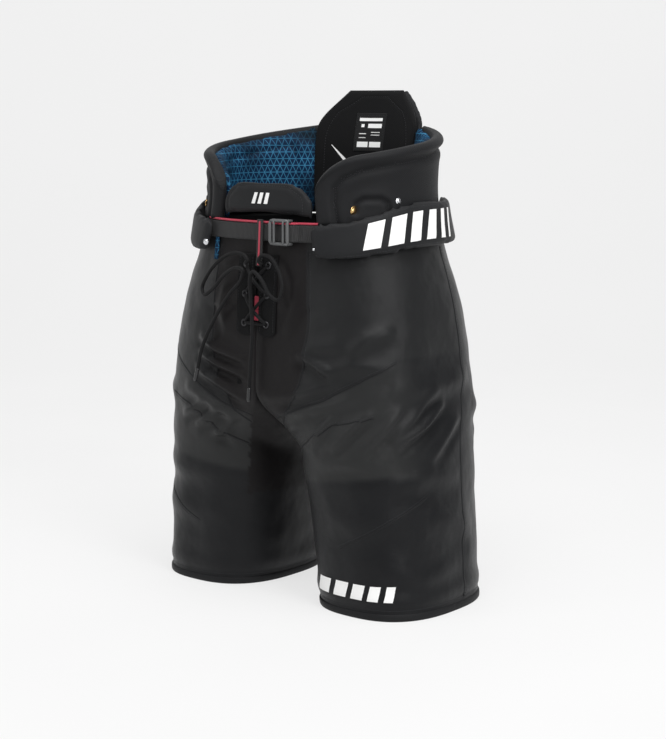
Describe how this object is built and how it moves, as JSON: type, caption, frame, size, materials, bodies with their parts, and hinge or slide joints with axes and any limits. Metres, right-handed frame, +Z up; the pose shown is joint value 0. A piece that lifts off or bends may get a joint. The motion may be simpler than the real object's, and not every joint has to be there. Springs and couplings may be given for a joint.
{
  "type": "hockey pants",
  "caption": "Padded ice hockey pants with a high spine pad, kidney wings, belly pad, outer hip guards, slide-buckle belt and laced fly.",
  "frame": {"origin": "on the floor plane between the two leg hems, under the middle of the waist", "axes": "+Z up along the trunk, front faces -Y, wearer's left is +X"},
  "size_m": [0.4188, 0.2666, 0.615],
  "materials": {
    "nylon": "woven matte nylon",
    "stretch_nylon": "matte stretch weave",
    "foam": "closed-cell foam in fabric",
    "plate_plastic": "moulded plate",
    "blue_lining": "printed knit",
    "spine_lining": "brushed knit",
    "red_tape": "woven tape",
    "webbing": "ribbed webbing",
    "grey_plastic": "satin moulded",
    "brass": "polished",
    "label_cloth": "satin label",
    "lace_cloth": "braided lace",
    "aglet_plastic": "gloss"
  },
  "bodies": {
    "trunk": {"left_hip_shell": "nylon", "left_fly_placket": "nylon", "left_kidney_pad": "nylon", "left_hip_guard": "nylon", "left_front_panel": "stretch_nylon", "left_hip_plate": "plate_plastic", "left_kidney_plate": "plate_plastic", "left_hip_foam": "foam", "left_kidney_lining": "blue_lining", "left_eyelet_1": "brass", "left_eyelet_2": "brass", "left_eyelet_3": "brass", "left_wing_rivet": "brass", "left_lace": "lace_cloth", "left_aglet": "aglet_plastic", "right_hip_shell": "nylon", "right_fly_placket": "nylon", "right_kidney_pad": "nylon", "right_hip_guard": "nylon", "right_front_panel": "stretch_nylon", "right_hip_plate": "plate_plastic", "right_kidney_plate": "plate_plastic", "right_hip_foam": "foam", "right_kidney_lining": "blue_lining", "right_eyelet_1": "brass", "right_eyelet_2": "brass", "right_eyelet_3": "brass", "right_wing_rivet": "brass", "right_lace": "lace_cloth", "right_aglet": "aglet_plastic", "seat_panel": "nylon", "waist_yoke": "nylon", "crotch_gusset": "stretch_nylon", "fly_tongue": "stretch_nylon", "tailbone_pad": "foam", "belt_strap": "webbing", "belt_piping": "red_tape", "fly_tab": "red_tape"},
    "left_leg": {"left_thigh_front": "nylon", "left_thigh_outer": "nylon", "left_thigh_back": "nylon", "left_thigh_inner": "stretch_nylon", "left_thigh_plate": "plate_plastic", "left_thigh_foam": "foam", "left_hem": "nylon"},
    "right_leg": {"right_thigh_front": "nylon", "right_thigh_outer": "nylon", "right_thigh_back": "nylon", "right_thigh_inner": "stretch_nylon", "right_thigh_plate": "plate_plastic", "right_thigh_foam": "foam", "right_hem": "nylon"},
    "spine_flap": {"spine_pad": "nylon", "spine_plate": "plate_plastic", "spine_lining": "spine_lining", "size_label": "label_cloth"},
    "belly_flap": {"belly_pad": "nylon"},
    "buckle": {"belt_buckle": "grey_plastic"}
  },
  "joints": [
    {"name": "left_leg_swing", "type": "hinge", "parent": "trunk", "child": "left_leg", "pos_m": [0.126, 0, 0.236], "axis": [1, 0, 0], "range_deg": [-20, 10]},
    {"name": "right_leg_swing", "type": "hinge", "parent": "trunk", "child": "right_leg", "pos_m": [-0.126, 0, 0.236], "axis": [1, 0, 0], "range_deg": [-20, 10]},
    {"name": "spine_flap_fold", "type": "hinge", "parent": "trunk", "child": "spine_flap", "pos_m": [0, 0.11, 0.463], "axis": [1, 0, 0], "range_deg": [-15, 5]},
    {"name": "belly_flap_fold", "type": "hinge", "parent": "trunk", "child": "belly_flap", "pos_m": [0, -0.11, 0.463], "axis": [1, 0, 0], "range_deg": [-3, 25]},
    {"name": "buckle_slide", "type": "slide", "parent": "trunk", "child": "buckle", "axis": [0.9942, 0.1071, 0], "range_m": [-0.008, 0.008]}
  ]
}
